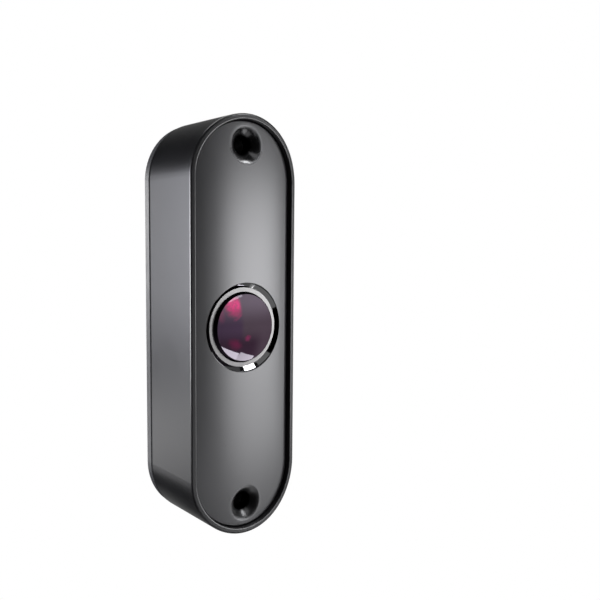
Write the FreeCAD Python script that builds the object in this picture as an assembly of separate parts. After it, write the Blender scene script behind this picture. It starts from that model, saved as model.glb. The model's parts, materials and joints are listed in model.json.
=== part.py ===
# Gate photocell: the sealed infrared receiver of a safety beam pair, screwed to a gate post.
# Millimetres. +Z is up, the front looks along -Y and the wall is on the +Y side.
# The origin is the centre of the back face, where the unit meets the wall.
# Depths are measured from the wall towards the front, so a depth d lies at y = -d.

import FreeCAD
import Part

import math
import os

Vector = FreeCAD.Vector
FRONTWARD = Vector(0, -1, 0)
WALLWARD = Vector(0, 1, 0)
MIRROR = Vector(1, 0, 0)
BEYOND = 1.0  # how far a cutter runs past the face that it cuts

# Outer form: a stadium seen from the front, with a front that swells across its width
HEIGHT = 110.0
WIDTH = 33.4
SIDE_DEPTH = 23.5  # wall to rim along the straight sides
RIM_CROWN = 1.6  # how much further forward the rim is on the centreline
RIM_WIDTH = 1.5
RIM_OUTER_ROUND = 0.5
RIM_INNER_ROUND = 0.3
RADIUS = WIDTH / 2
HALF = HEIGHT / 2 - RADIUS  # from the centre to the middle of each end arc
FRONT = SIDE_DEPTH + RIM_CROWN
CROWN_BEND = (RADIUS ** 2 + RIM_CROWN ** 2) / (2 * RIM_CROWN)

# Base, with the seam groove between it and the housing
BASE_DEPTH = 3.0
BASE_FLOOR = 2.0
BASE_DRAFT = 0.2
BASE_ROUND = 0.4
SEAM = 0.3
BACK_POCKET = 0.8
BACK_POCKET_WIDTH = 22.0
BACK_POCKETS = ((32.5, 13.0), (14.5, 17.0), (-32.0, 14.0))  # middle height, length
BACK_POCKET_CORNER = 3.0

# Housing wall and the inner rib that the front plate snaps on to
WALL = 2.0
BORE = RADIUS - WALL
POCKET = RADIUS - RIM_WIDTH
LEDGE = 19.0  # depth of the shelf that the front plate rests on
RIB = 13.7
RIB_BACK = 17.6
FIT_GAP = 0.15

# Two fixing screws pass through the whole unit
HOLE_SPACING = 94.8
HOLE_RADIUS = 2.25
HOLE_HEIGHTS = (HOLE_SPACING / 2, -HOLE_SPACING / 2)
SINK_RADIUS = 4.5
SINK_ROUND = 0.9
SCREW_BOSS = 3.8
SCREW_WEB = 2.0

# Tongues of the base, inside the housing's straight walls
TONGUE_OUT = BORE - FIT_GAP
TONGUE_THICK = 1.2
TONGUE_DEPTH = 6.5
TONGUE_LENGTH = 74.0
TONGUE_LEAD = 0.4
SNAP_DEPTH = 5.0
SNAP_LENGTH = 8.0
SNAP_RISE = 0.4
SNAP_HEIGHTS = (24.0, -24.0)

# Rubber cord between base and housing
SEAL_OUT = 16.0
SEAL_IN = 15.0
SEAL_FLOOR = 2.0

# Front plate: a crowned shell with bosses behind it
PLATE_GAP = 0.15
PLATE_RADIUS = POCKET - PLATE_GAP
PLATE_FRONT = 23.7
PLATE_ROUND = 0.3
PLATE_SKIN = 2.0
PLATE_EDGE = 1.8
SINK_BOSS = 5.4
APERTURE_BOSS = 13.6
HOOK_THICK = 1.1
HOOK_GAP = 0.2
HOOK_LENGTH = 6.0
HOOK_NOSE = 0.7
HOOK_TIP = 16.2
HOOK_HEIGHTS = (24.0, -24.0)

# Bright lens ring, pressed into the plate's aperture from the front
RING_LIP = 23.1
RING_OUT = 11.8
RING_LIP_WIDTH = 0.2
RING_FACE = 22.35
RING_FACE_OUT = 10.5
RING_BORE = 9.4
RING_SHELF = 21.35  # underside of the flat face
RING_SEAT = 21.7  # floor of the plate's counterbore
RING_SKIRT = 11.3
RING_SKIRT_IN = 10.45
RING_BACK = 17.5
RING_BEAD = 0.6
RING_FIT = 0.05
RING_SLOTS = 4
RING_SLOT_WIDTH = 4.0

# Lens: a dark red filter with a domed front and a flange behind the ring
LENS_RADIUS = 8.95
LENS_APEX = 25.2
LENS_EDGE = 23.35
FLANGE_RADIUS = 10.3
FLANGE_FRONT = 20.45
FLANGE_BACK = 19.25
LENS_REAR_RADIUS = 8.4
LENS_REAR = 17.2
TUBE_FOOT_IN = 6.4

# Circuit board, screwed to four posts behind the front plate
BOARD_FRONT = 12.0
BOARD_THICK = 1.6
BOARD_BACK = BOARD_FRONT - BOARD_THICK
BOARD_WIDTH = 26.4
BOARD_LENGTH = 82.0
BOARD_CORNER = 2.0
BOARD_HOLE = 1.15
PIN_END = BOARD_FRONT + 0.6  # tips of the soldered pins
SOCKET_GAP = 0.1
POST_RADIUS = 2.0
PILOT_RADIUS = 1.0
POSTS = [(x, z) for x in (-9.8, 9.8) for z in (-33.5, 33.5)]

# Cable entry
CABLE_Z = -12.0
CABLE_RADIUS = 3.0
GROMMET_WAIST = 5.0
GROMMET_COLLAR = 6.5
GROMMET_SINK = 1.0
GROMMET_RECESS = 0.1
GROMMET_INSIDE = 3.4
GROMMET_LIP = 0.3

# Screw terminals on the board's wall side
POLES = 5
POLE_PITCH = 5.0
POLE_X = [(i - (POLES - 1) / 2) * POLE_PITCH for i in range(POLES)]
BLOCK_WIDTH = 25.4
BLOCK_LENGTH = 8.0
BLOCK_TOP = 2.4
BLOCK_Z = -26.8
WELL_RADIUS = 1.9
ENTRY_WIDTH = 3.4
ENTRY_LENGTH = 6.0
ENTRY_FAR = 9.6
ENTRY_NEAR = 5.6
CLAMP_PIN = 0.5
CLAMP_SCREW = 1.0

# Wired parts on the board's wall side
WIRED_Z = 16.0
VARISTOR_X = -7.0
VARISTOR_LEAD = 0.3
VARISTOR_LEADS = [VARISTOR_X - 2.0, VARISTOR_X + 2.0]
JUMPER_PITCH = 2.54
JUMPER_X = 6.0
JUMPER_PINS = [JUMPER_X + i * JUMPER_PITCH for i in (-1, 0, 1)]
JUMPER_PIN = 0.64
JUMPER_STRIP = BOARD_BACK - 2.5
JUMPER_TIP = 3.4


def outline(*steps):
    """Closed face in (radius, depth). A step is the next corner, or a point on an arc with the arc's end."""
    def place(corner):
        return Vector(corner[0], -corner[1], 0)

    here = steps[0]
    edges = []
    for step in steps[1:] + steps[:1]:
        if isinstance(step[0], tuple):
            through, end = step
            edges.append(Part.Arc(place(here), place(through), place(end)).toShape())
        else:
            end = step
            edges.append(Part.makeLine(place(here), place(end)))
        here = end
    return Part.Face(Part.Wire(edges))


def turned(*steps):
    """Solid of revolution about the lens axis."""
    return outline(*steps).revolve(Vector(), WALLWARD, 360)


def around(*steps):
    """The outline carried round the stadium: two straight runs and two half turns, as one solid."""
    face = outline(*steps)
    face.translate(Vector(0, 0, -HALF))
    right = face.extrude(Vector(0, 0, 2 * HALF))
    left = right.mirror(Vector(), MIRROR)
    bottom = face.revolve(Vector(0, 0, -HALF), WALLWARD, 180)
    face.translate(Vector(0, 0, 2 * HALF))
    top = face.revolve(Vector(0, 0, HALF), FRONTWARD, 180)
    return right.fuse([left, top, bottom]).removeSplitter()


def bar(side, z, length, *steps):
    """The outline extruded upwards over a length centred on z, on the left or the right side."""
    face = outline(*steps)
    face.translate(Vector(0, 0, z - length / 2))
    right = face.extrude(Vector(0, 0, length))
    return right if side > 0 else right.mirror(Vector(), MIRROR)


def rod(radius, near, far, x=0.0, z=0.0):
    """Cylinder along the depth, from one depth to a larger one."""
    return Part.makeCylinder(radius, far - near, Vector(x, -near, z), FRONTWARD)


def block(width, length, near, far, x=0.0, z=0.0):
    """Box centred on x and z, from one depth to a larger one."""
    return Part.makeBox(width, far - near, length, Vector(x - width / 2, -far, z - length / 2))


def rounded_block(width, length, near, far, corner, x=0.0, z=0.0):
    """Box whose four edges along the depth are rounded."""
    box = block(width, length, near, far, x, z)
    along = [e for e in box.Edges if abs(e.tangentAt(e.FirstParameter).y) > 0.5]
    return box.makeFillet(corner, along)


def crown(crest):
    """Upright cylinder that gives the swelling front its shape, with its crest at the given depth."""
    return Part.makeCylinder(CROWN_BEND, 2 * HEIGHT, Vector(0, CROWN_BEND - crest, -HEIGHT))


def rim_edges(shape, radius):
    """Edges of the crowned front that run round the stadium at the given radius."""
    def from_spine(p):
        return math.hypot(p.x, max(abs(p.z) - HALF, 0.0))

    found = []
    for edge in shape.Edges:
        middle = (edge.FirstParameter + edge.LastParameter) / 2
        points = [v.Point for v in edge.Vertexes] + [edge.valueAt(middle)]
        on_rim = all(abs(from_spine(p) - radius) < 1e-3 and -p.y > LEDGE + 1 for p in points)
        if on_rim and abs(edge.tangentAt(middle).y) < 0.5:
            found.append(edge)
    return found


def rear_base():
    """Moulded back: a flanged tray with tongues, screw holes and the cable entry."""
    foot = RADIUS - BASE_DRAFT
    inset = BASE_ROUND * (1 - math.sqrt(0.5))
    tray = around(
        (0, 0),
        (foot - BASE_ROUND, 0),
        ((foot - inset, inset), (foot, BASE_ROUND)),
        (RADIUS, BASE_DEPTH - SEAM),
        (RADIUS - SEAM, BASE_DEPTH),
        (SEAL_OUT, BASE_DEPTH),
        (SEAL_OUT, SEAL_FLOOR),
        (SEAL_IN, SEAL_FLOOR),
        (SEAL_IN, BASE_DEPTH),
        (TONGUE_OUT, BASE_DEPTH),
        (TONGUE_OUT, BASE_FLOOR),
        (0, BASE_FLOOR),
    )
    raised = [rod(SCREW_BOSS, BASE_FLOOR / 2, BASE_DEPTH, 0, z) for z in HOLE_HEIGHTS]
    for side in (-1, 1):
        raised += tongue(side)
    base = tray.fuse(raised).removeSplitter()
    cuts = [rod(HOLE_RADIUS, -BEYOND, BASE_DEPTH + BEYOND, 0, z) for z in HOLE_HEIGHTS]
    for z, length in BACK_POCKETS:
        cuts.append(
            rounded_block(BACK_POCKET_WIDTH, length, -BEYOND, BACK_POCKET, BACK_POCKET_CORNER, 0, z)
        )
    cuts.append(rod(GROMMET_COLLAR + FIT_GAP, -BEYOND, GROMMET_SINK, 0, CABLE_Z))
    cuts.append(rod(GROMMET_WAIST, -BEYOND, BASE_FLOOR + BEYOND, 0, CABLE_Z))
    return base.cut(cuts)


def tongue(side):
    """One locating tongue of the base, with a lead-in, and its two snap ridges."""
    inner = TONGUE_OUT - TONGUE_THICK
    wall = bar(
        side,
        0,
        TONGUE_LENGTH,
        (inner, BASE_FLOOR / 2),
        (TONGUE_OUT, BASE_FLOOR / 2),
        (TONGUE_OUT, TONGUE_DEPTH - TONGUE_LEAD),
        (TONGUE_OUT - TONGUE_LEAD, TONGUE_DEPTH),
        (inner, TONGUE_DEPTH),
    )
    root = TONGUE_OUT - TONGUE_THICK / 2
    ridges = [
        bar(
            side,
            z,
            SNAP_LENGTH,
            (root, SNAP_DEPTH - SNAP_RISE),
            (TONGUE_OUT, SNAP_DEPTH - SNAP_RISE),
            (TONGUE_OUT + SNAP_RISE, SNAP_DEPTH),
            (TONGUE_OUT, SNAP_DEPTH + SNAP_RISE),
            (root, SNAP_DEPTH + SNAP_RISE),
        )
        for z in SNAP_HEIGHTS
    ]
    return [wall] + ridges


def base_seal():
    """Rubber cord in the base's groove, pressed by the housing's rear face."""
    return around(
        (SEAL_IN, SEAL_FLOOR), (SEAL_OUT, SEAL_FLOOR), (SEAL_OUT, BASE_DEPTH), (SEAL_IN, BASE_DEPTH)
    )


def cable_grommet():
    """Rubber grommet in the base, with an open bore for the field cable."""
    grommet = turned(
        (CABLE_RADIUS, GROMMET_RECESS),
        (GROMMET_COLLAR, GROMMET_RECESS),
        (GROMMET_COLLAR, GROMMET_SINK),
        (GROMMET_WAIST, GROMMET_SINK),
        (GROMMET_WAIST, BASE_FLOOR),
        (GROMMET_COLLAR - GROMMET_LIP, BASE_FLOOR),
        (GROMMET_WAIST - GROMMET_LIP, GROMMET_INSIDE),
        (CABLE_RADIUS, GROMMET_INSIDE),
    )
    grommet.translate(Vector(0, 0, CABLE_Z))
    return grommet


def housing_shell():
    """Stadium tube with a crowned front rim, an inner snap rib and two screw bosses."""
    tube = around(
        (RADIUS - SEAM, BASE_DEPTH),
        (RADIUS, BASE_DEPTH + SEAM),
        (RADIUS, FRONT + BEYOND),
        (POCKET, FRONT + BEYOND),
        (POCKET, LEDGE),
        (RIB, LEDGE),
        (RIB, RIB_BACK),
        (BORE, RIB_BACK),
        (BORE, BASE_DEPTH),
    )
    shell = tube.common(crown(FRONT))
    shell = shell.makeFillet(RIM_OUTER_ROUND, rim_edges(shell, RADIUS))
    shell = shell.makeFillet(RIM_INNER_ROUND, rim_edges(shell, POCKET))
    bosses = []
    for z in HOLE_HEIGHTS:
        bosses.append(rod(SCREW_BOSS, BASE_DEPTH, LEDGE, 0, z))
        to_wall = HEIGHT / 2 - WALL / 2 - abs(z)
        middle = math.copysign(abs(z) + to_wall / 2, z)
        bosses.append(block(SCREW_WEB, to_wall, BASE_DEPTH, RIB_BACK, 0, middle))
    shell = shell.fuse(bosses).removeSplitter()
    cuts = [rod(HOLE_RADIUS, BASE_DEPTH - BEYOND, LEDGE + BEYOND, 0, z) for z in HOLE_HEIGHTS]
    for z in SNAP_HEIGHTS:
        for side in (-1, 1):
            cuts.append(snap_recess(side, z))
    return shell.cut(cuts)


def snap_recess(side, z):
    """Room in the housing's wall for one snap ridge of the base."""
    sink = SNAP_RISE + FIT_GAP
    reach = 2 * SNAP_RISE
    length = SNAP_LENGTH + 2 * reach
    return block(2 * sink, length, SNAP_DEPTH - reach, SNAP_DEPTH + reach, side * BORE, z)


def front_plate():
    """Crowned cover plate: a shell with countersunk bosses, lens aperture, board posts and snap hooks."""
    slab = around((0, LEDGE), (PLATE_RADIUS, LEDGE), (PLATE_RADIUS, FRONT), (0, FRONT))
    slab = slab.common(crown(PLATE_FRONT))
    slab = slab.makeFillet(PLATE_ROUND, rim_edges(slab, PLATE_RADIUS))
    inside = PLATE_RADIUS - PLATE_EDGE
    hollow = around((0, LEDGE - BEYOND), (inside, LEDGE - BEYOND), (inside, FRONT), (0, FRONT))
    hollow = hollow.common(crown(PLATE_FRONT - PLATE_SKIN))
    in_skin = PLATE_FRONT - PLATE_SKIN + PLATE_GAP  # a depth that lies inside the skin everywhere
    bosses = [rod(APERTURE_BOSS, LEDGE, in_skin)]
    bosses += [rod(SINK_BOSS, LEDGE, in_skin, 0, z) for z in HOLE_HEIGHTS]
    bosses += [rod(POST_RADIUS, BOARD_FRONT, in_skin, x, z) for x, z in POSTS]
    bosses += [hook(side, z, in_skin) for side in (-1, 1) for z in HOOK_HEIGHTS]
    plate = slab.cut(hollow).fuse(bosses).removeSplitter()
    cuts = [
        rod(RING_SKIRT + RING_FIT, LEDGE - BEYOND, FRONT),
        rod(RING_OUT + RING_FIT, RING_SEAT, FRONT),
    ]
    for z in HOLE_HEIGHTS:
        cuts.append(rod(HOLE_RADIUS, LEDGE - BEYOND, FRONT, 0, z))
        cuts.append(countersink(z))
    cuts += [rod(PILOT_RADIUS, BOARD_FRONT - BEYOND, LEDGE, x, z) for x, z in POSTS]
    plate = plate.cut(cuts)
    return plate.makeFillet(SINK_ROUND, sink_mouths(plate))


def sink_mouths(plate):
    """Edges where the countersinks meet the crowned front."""
    def on_mouth(p):
        reach = math.hypot(p.x, abs(p.z) - HOLE_SPACING / 2)
        return HOLE_RADIUS < reach < SINK_BOSS and -p.y > PLATE_FRONT - SINK_ROUND

    return [e for e in plate.Edges if all(on_mouth(v.Point) for v in e.Vertexes)]


def countersink(z):
    """Right-angled cone that opens to its full radius at the plate's crest."""
    drop = SINK_RADIUS - HOLE_RADIUS
    foot = Vector(0, drop - PLATE_FRONT, z)
    return Part.makeCone(HOLE_RADIUS, SINK_RADIUS + BEYOND, drop + BEYOND, foot, FRONTWARD)


def hook(side, z, root):
    """Snap hook on the plate's back that catches behind the housing's rib."""
    outer = RIB - HOOK_GAP
    catch = RIB_BACK - HOOK_GAP / 2
    return bar(
        side,
        z,
        HOOK_LENGTH,
        (outer - HOOK_THICK, HOOK_TIP),
        (outer, HOOK_TIP),
        (outer + HOOK_NOSE, catch - HOOK_NOSE / 2),
        (outer + HOOK_NOSE, catch),
        (outer, catch),
        (outer, root),
        (outer - HOOK_THICK, root),
    )


def lens_ring():
    """Bright ring: a dished cone down to a flat face, with a slotted snap skirt behind."""
    bead = LEDGE - RING_FIT
    ring = turned(
        (RING_BORE, RING_FACE),
        (RING_FACE_OUT, RING_FACE),
        (RING_OUT - RING_LIP_WIDTH, RING_LIP),
        (RING_OUT, RING_LIP - RING_LIP_WIDTH / 2),
        (RING_OUT, RING_SEAT),
        (RING_SKIRT, RING_SEAT),
        (RING_SKIRT, bead),
        (RING_SKIRT + RING_BEAD, bead - RING_BEAD / 2),
        (RING_SKIRT, RING_BACK),
        (RING_SKIRT_IN, RING_BACK),
        (RING_SKIRT_IN, RING_SHELF),
        (RING_BORE, RING_SHELF),
    )
    slots = []
    for i in range(RING_SLOTS):
        slot = block(RING_OUT, RING_SLOT_WIDTH, RING_BACK - BEYOND, RING_SEAT - BEYOND, RING_OUT)
        slot.rotate(Vector(), WALLWARD, 360 * (i + 0.5) / RING_SLOTS)
        slots.append(slot)
    return ring.cut(slots)


def on_dome(radius, edge, apex):
    """Point halfway along the arc of a dome's section, from the axis at its apex to its edge."""
    rise = apex - edge
    bend = (radius ** 2 + rise ** 2) / (2 * rise)
    turn = math.asin(radius / abs(bend)) / 2
    return (abs(bend) * math.sin(turn), apex - bend * (1 - math.cos(turn)))


def lens():
    """Dark red filter lens: domed front, flange behind the ring and a bulged rear face."""
    return turned(
        (0, LENS_APEX),
        (on_dome(LENS_RADIUS, LENS_EDGE, LENS_APEX), (LENS_RADIUS, LENS_EDGE)),
        (LENS_RADIUS, FLANGE_FRONT),
        (FLANGE_RADIUS, FLANGE_FRONT),
        (FLANGE_RADIUS, FLANGE_BACK),
        (LENS_REAR_RADIUS, FLANGE_BACK),
        (on_dome(LENS_REAR_RADIUS, FLANGE_BACK, LENS_REAR), (0, LENS_REAR)),
    )


def lens_seal():
    """O-ring between the lens flange and the underside of the ring's face."""
    section = (RING_SHELF - FLANGE_FRONT) / 2
    middle = (LENS_RADIUS + RING_SKIRT_IN) / 2
    return Part.makeTorus(middle, section, Vector(0, -FLANGE_FRONT - section, 0), WALLWARD)


def optic_tube():
    """Black light shield that clamps the lens flange and stands on the board round the sensor."""
    outside = FLANGE_RADIUS - FIT_GAP
    return turned(
        (TUBE_FOOT_IN, BOARD_FRONT),
        (outside, BOARD_FRONT),
        (outside, FLANGE_BACK),
        (LENS_REAR_RADIUS + FIT_GAP, FLANGE_BACK),
    )


def circuit_board():
    """Drilled board that carries the sensor, the electronics and the terminals."""
    board = rounded_block(BOARD_WIDTH, BOARD_LENGTH, BOARD_BACK, BOARD_FRONT, BOARD_CORNER)
    drilled = [(BOARD_HOLE, x, z) for x, z in POSTS]
    drilled += [(CLAMP_PIN, x, BLOCK_Z) for x in POLE_X]
    drilled += [(VARISTOR_LEAD, x, WIRED_Z) for x in VARISTOR_LEADS]
    drilled += [(JUMPER_PIN / math.sqrt(2), x, WIRED_Z) for x in JUMPER_PINS]
    return board.cut([rod(r, BOARD_BACK - BEYOND, BOARD_FRONT + BEYOND, x, z) for r, x, z in drilled])


def board_screws():
    """Four pan-head tapping screws that hold the board to the plate's posts."""
    head_radius, head_thick = 1.9, 1.4
    shank_radius, shank_reach = PILOT_RADIUS - 0.05, 6.0
    cross_long, cross_wide, cross_deep = 2.2, 0.5, 0.7
    head = BOARD_BACK - head_thick
    tip = BOARD_FRONT + shank_reach
    cross_floor = head + cross_deep
    screws = []
    for x, z in POSTS:
        screw = rod(head_radius, head, BOARD_BACK, x, z).fuse(rod(shank_radius, head, tip, x, z))
        cross = [
            block(cross_long, cross_wide, head - BEYOND, cross_floor, x, z),
            block(cross_wide, cross_long, head - BEYOND, cross_floor, x, z),
        ]
        screws.append(screw.removeSplitter().cut(cross))
    return Part.makeCompound(screws)


def photodiode():
    """Flat infrared sensor on the lens axis, with a chamfered window."""
    width, length = 4.4, 5.4
    chamfer = 0.4
    top = BOARD_FRONT + 2.2
    body = block(width, length, BOARD_FRONT, top)
    window = [e for e in body.Edges if all(abs(v.Point.y + top) < 1e-6 for v in e.Vertexes)]
    return body.makeChamfer(chamfer, window)


def status_led():
    """Small alignment lamp that shines through the lens."""
    z = -4.6
    carrier_width, carrier_length, carrier_top = 1.3, 2.0, BOARD_FRONT + 0.4
    resin, resin_top = 1.2, BOARD_FRONT + 0.9
    carrier = block(carrier_width, carrier_length, BOARD_FRONT, carrier_top, 0, z)
    return carrier.fuse(block(resin, resin, BOARD_FRONT, resin_top, 0, z)).removeSplitter()


def legs(x, z, body_width, rows, pitch, reach, thick):
    """Two rows of flat soldered legs, one on each side of a body."""
    leg_width = 0.45
    found = []
    for i in range(rows):
        height = z + (i - (rows - 1) / 2) * pitch
        for side in (-1, 1):
            centre = x + side * body_width / 2
            found.append(block(2 * reach, leg_width, BOARD_FRONT, BOARD_FRONT + thick, centre, height))
    return found


def control_chip():
    """Fourteen-leg controller on the board's front."""
    x, z = 0.0, -21.0
    width, length = 3.9, 8.7
    stand_off, top = 0.1, 1.6
    body = block(width, length, BOARD_FRONT + stand_off, BOARD_FRONT + top, x, z)
    feet = legs(x, z, width, rows=7, pitch=1.27, reach=1.05, thick=0.3)
    return body.fuse(feet).removeSplitter()


def output_relay():
    """Sealed signal relay that opens the gate drive's safety circuit."""
    x, z = 0.0, 24.0
    width, length = 6.6, 10.2
    stand_off, top, corner = 0.3, 5.4, 0.4
    body = rounded_block(width, length, BOARD_FRONT + stand_off, BOARD_FRONT + top, corner, x, z)
    feet = legs(x, z, width, rows=4, pitch=2.2, reach=0.8, thick=0.6)
    return body.fuse(feet).removeSplitter()


def supply_capacitor():
    """Aluminium can capacitor on a square foot."""
    x, z = -3.5, 34.0
    foot_side, foot_thick = 6.6, 1.0
    can_radius, can_round = 3.15, 0.5
    top = BOARD_FRONT + 5.8
    foot = block(foot_side, foot_side, BOARD_FRONT, BOARD_FRONT + foot_thick, x, z)
    can = rod(can_radius, BOARD_FRONT + foot_thick / 2, top, x, z)
    can = can.makeFillet(can_round, [e for e in can.Edges if abs(e.CenterOfMass.y + top) < 1e-6])
    return foot.fuse(can).removeSplitter()


def bridge_rectifier():
    """Four-leg rectifier for the alternating supply."""
    x, z = -4.5, -34.5
    width, length = 4.0, 4.8
    stand_off, top = 0.1, 2.6
    body = block(width, length, BOARD_FRONT + stand_off, BOARD_FRONT + top, x, z)
    feet = legs(x, z, width, rows=2, pitch=2.5, reach=1.0, thick=0.4)
    return body.fuse(feet).removeSplitter()


def voltage_regulator():
    """Surface-mounted regulator with a cooling tab and three feet."""
    x, z = 4.0, -35.0
    width, length = 6.5, 3.6
    stand_off, top = 0.05, 1.8
    tab_wide, foot_wide, foot_pitch = 3.0, 0.7, 2.3
    foot_reach, foot_long = 2.6, 1.8
    foot_top = BOARD_FRONT + 0.35
    body = block(width, length, BOARD_FRONT + stand_off, BOARD_FRONT + top, x, z)
    feet = [block(tab_wide, foot_long, BOARD_FRONT, foot_top, x, z + foot_reach)]
    for i in (-1, 0, 1):
        feet.append(block(foot_wide, foot_long, BOARD_FRONT, foot_top, x + i * foot_pitch, z - foot_reach))
    return body.fuse(feet).removeSplitter()


def surge_varistor():
    """Coated disc across the supply terminals, standing on the board's wall side."""
    radius = 3.4
    thick = 3.4
    stand_off = 0.3
    edge_round = 1.0
    centre = BOARD_BACK - radius - stand_off
    disc = Part.makeCylinder(radius, thick, Vector(VARISTOR_X, -centre, WIRED_Z - thick / 2))
    disc = disc.makeFillet(edge_round, [e for e in disc.Edges if e.Closed])
    leads = [rod(VARISTOR_LEAD, centre, PIN_END, x, WIRED_Z) for x in VARISTOR_LEADS]
    return disc.fuse(leads).removeSplitter()


def jumper_pins():
    """Three-pin header that selects the beam code."""
    strip = block(3 * JUMPER_PITCH, JUMPER_PITCH, JUMPER_STRIP, BOARD_BACK, JUMPER_X, WIRED_Z)
    pins = [block(JUMPER_PIN, JUMPER_PIN, JUMPER_TIP, PIN_END, x, WIRED_Z) for x in JUMPER_PINS]
    return strip.fuse(pins).removeSplitter()


def jumper_cap():
    """Removable link over two of the header's pins."""
    cap_wall = 0.7
    top = JUMPER_TIP - cap_wall
    socket = JUMPER_PIN + SOCKET_GAP
    linked = JUMPER_PINS[1:]
    middle = sum(linked) / len(linked)
    cap = block(2 * JUMPER_PITCH, JUMPER_PITCH, top, JUMPER_STRIP, middle, WIRED_Z)
    sockets = [
        block(socket, socket, JUMPER_TIP - SOCKET_GAP, JUMPER_STRIP + BEYOND, x, WIRED_Z) for x in linked
    ]
    return cap.cut(sockets)


def terminal_block():
    """Moulded body of the screw terminals: a wire entry, a screw well and a pin hole for each pole."""
    body = block(BLOCK_WIDTH, BLOCK_LENGTH, BLOCK_TOP, BOARD_BACK, 0, BLOCK_Z)
    entry_z = BLOCK_Z + BLOCK_LENGTH / 2 - ENTRY_LENGTH / 2
    cuts = []
    for x in POLE_X:
        cuts.append(block(ENTRY_WIDTH, ENTRY_LENGTH, ENTRY_NEAR, ENTRY_FAR, x, entry_z))
        cuts.append(rod(WELL_RADIUS, BLOCK_TOP - BEYOND, ENTRY_NEAR + BEYOND, x, BLOCK_Z))
        cuts.append(rod(CLAMP_PIN, ENTRY_FAR - BEYOND, BOARD_BACK + BEYOND, x, BLOCK_Z))
    return body.cut(cuts)


def terminal_clamps():
    """One metal cage for each pole, with its solder pin through the board."""
    width, length = 3.2, 4.0
    side_wall, lower_wall, upper_wall = 0.5, 0.7, 0.8
    top = ENTRY_NEAR + SOCKET_GAP
    cages = []
    for x in POLE_X:
        cage = block(width, length, top, ENTRY_FAR, x, BLOCK_Z)
        mouth = block(
            width - 2 * side_wall, length + BEYOND, top + upper_wall, ENTRY_FAR - lower_wall, x, BLOCK_Z
        )
        pin = rod(CLAMP_PIN, ENTRY_FAR - lower_wall / 2, PIN_END, x, BLOCK_Z)
        cage = cage.cut([mouth, rod(CLAMP_SCREW, top - BEYOND, top + BEYOND, x, BLOCK_Z)])
        cages.append(cage.fuse(pin).removeSplitter())
    return Part.makeCompound(cages)


def terminal_screws():
    """One slotted clamping screw for each pole."""
    head_radius = 1.75
    head, under, tip = 2.9, 4.6, 7.2
    slot_wide, slot_deep = 0.5, 0.6
    screws = []
    for x in POLE_X:
        screw = rod(head_radius, head, under, x, BLOCK_Z).fuse(rod(CLAMP_SCREW, head, tip, x, BLOCK_Z))
        slot = block(2 * head_radius + BEYOND, slot_wide, head - BEYOND, head + slot_deep, x, BLOCK_Z)
        screws.append(screw.removeSplitter().cut(slot))
    return Part.makeCompound(screws)


SUBPARTS = (
    rear_base,
    base_seal,
    cable_grommet,
    housing_shell,
    front_plate,
    lens_ring,
    lens,
    lens_seal,
    optic_tube,
    circuit_board,
    board_screws,
    photodiode,
    status_led,
    control_chip,
    output_relay,
    supply_capacitor,
    bridge_rectifier,
    voltage_regulator,
    surge_varistor,
    jumper_pins,
    jumper_cap,
    terminal_block,
    terminal_clamps,
    terminal_screws,
)


def main():
    os.makedirs("parts", exist_ok=True)
    for make in SUBPARTS:
        shape = make()
        shape.exportStep("parts/" + make.__name__ + ".step")
        print(f"{make.__name__}: {len(shape.Solids)} solids, {shape.Volume / 1000:.3f} cm3")


main()
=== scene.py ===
# Studio scene of a gate photocell: the finishes, the soldered joints, the stage and the camera.
# Metres. +Z is up, the front looks along -Y and the wall is on the +Y side.

import json
import math

import bpy
from bpy.props import FloatProperty, FloatVectorProperty, IntProperty, PointerProperty
from mathutils import Matrix, Quaternion, Vector


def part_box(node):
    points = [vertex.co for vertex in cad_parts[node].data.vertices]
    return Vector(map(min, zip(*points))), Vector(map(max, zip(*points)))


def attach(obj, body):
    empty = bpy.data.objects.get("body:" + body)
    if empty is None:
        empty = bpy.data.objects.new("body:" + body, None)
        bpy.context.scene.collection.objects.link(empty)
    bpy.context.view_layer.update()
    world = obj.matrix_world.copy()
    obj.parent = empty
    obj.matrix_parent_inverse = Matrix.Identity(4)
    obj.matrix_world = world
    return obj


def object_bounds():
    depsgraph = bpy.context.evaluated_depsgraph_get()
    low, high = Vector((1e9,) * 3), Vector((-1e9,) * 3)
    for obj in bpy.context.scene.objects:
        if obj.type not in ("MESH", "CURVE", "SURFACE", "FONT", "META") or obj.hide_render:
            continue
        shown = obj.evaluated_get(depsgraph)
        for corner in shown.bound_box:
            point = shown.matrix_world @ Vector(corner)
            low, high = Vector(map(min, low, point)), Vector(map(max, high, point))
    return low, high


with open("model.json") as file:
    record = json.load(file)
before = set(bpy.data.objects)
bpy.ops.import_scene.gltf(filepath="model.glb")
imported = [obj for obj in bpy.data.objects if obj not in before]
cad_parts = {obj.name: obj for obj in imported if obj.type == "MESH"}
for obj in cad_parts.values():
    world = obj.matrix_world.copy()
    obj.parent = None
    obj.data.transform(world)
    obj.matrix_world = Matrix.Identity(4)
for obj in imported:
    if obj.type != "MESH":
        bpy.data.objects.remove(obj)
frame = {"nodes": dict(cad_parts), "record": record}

bl_info = {
    "name": "Gate photocell",
    "version": (1, 0, 0),
    "blender": (4, 5, 0),
    "location": "View3D > Sidebar > Photocell",
    "description": "Dresses the packed gate photocell and sets it in a small studio",
    "category": "Object",
}

MM = 0.001
CAD_LOW, CAD_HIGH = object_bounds()
BOARD_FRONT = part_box("circuit_board")[0].y

# Back edge of the housing, in front of the seam to the base
HOUSING_BACK = -3.3 * MM
SEAM_SHADE = (HOUSING_BACK - 0.35 * MM, HOUSING_BACK - 0.15 * MM)  # depths where its painted shade comes in
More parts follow.
